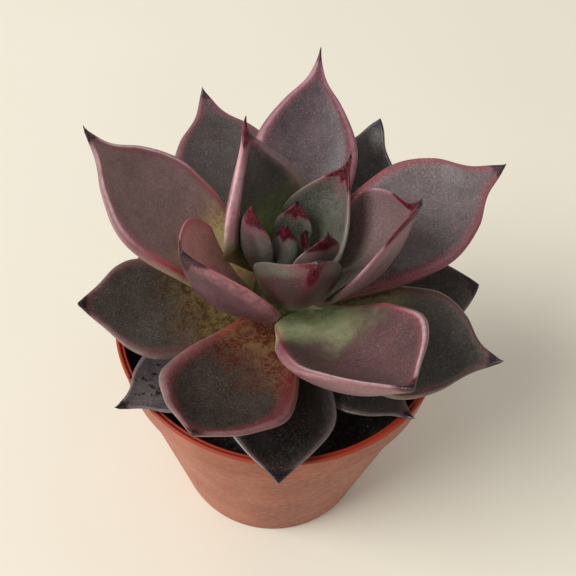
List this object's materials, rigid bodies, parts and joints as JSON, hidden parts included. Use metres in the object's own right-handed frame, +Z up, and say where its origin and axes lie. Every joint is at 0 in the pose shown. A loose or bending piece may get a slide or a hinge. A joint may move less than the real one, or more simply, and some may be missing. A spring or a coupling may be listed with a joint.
{
  "type": "potted echeveria",
  "caption": "Succulent rosette of thick pointed leaves in a spiral on a short stem, rooted in soil in a small round plastic nursery pot.",
  "frame": {"origin": "centre of the pot's flat underside, on the surface that the pot stands on", "axes": "+Z up along the pot's axis and the stem; the picture looks along +Y and down, with +X to its right"},
  "size_m": [0.0654, 0.0677, 0.0824],
  "materials": {
    "pot_plastic": "satin",
    "potting_soil": "matte",
    "stem_tissue": "matte",
    "heart_leaf": "satin",
    "inner_leaf": "satin",
    "middle_leaf": "satin",
    "outer_leaf": "satin"
  },
  "bodies": {
    "root": {"pot": "pot_plastic", "soil": "potting_soil", "stem": "stem_tissue", "heart": "heart_leaf", "inner_leaf_1": "inner_leaf", "inner_leaf_2": "inner_leaf", "inner_leaf_3": "inner_leaf", "inner_leaf_4": "inner_leaf", "inner_leaf_5": "inner_leaf", "inner_leaf_6": "inner_leaf", "inner_leaf_7": "inner_leaf", "middle_leaf_1": "middle_leaf", "middle_leaf_2": "middle_leaf", "middle_leaf_3": "middle_leaf", "middle_leaf_4": "middle_leaf", "middle_leaf_5": "middle_leaf", "middle_leaf_6": "middle_leaf", "middle_leaf_7": "middle_leaf", "middle_leaf_8": "middle_leaf", "outer_leaf_1": "outer_leaf", "outer_leaf_2": "outer_leaf", "outer_leaf_3": "outer_leaf", "outer_leaf_4": "outer_leaf", "outer_leaf_5": "outer_leaf", "outer_leaf_6": "outer_leaf", "outer_leaf_7": "outer_leaf"}
  },
  "joints": []
}
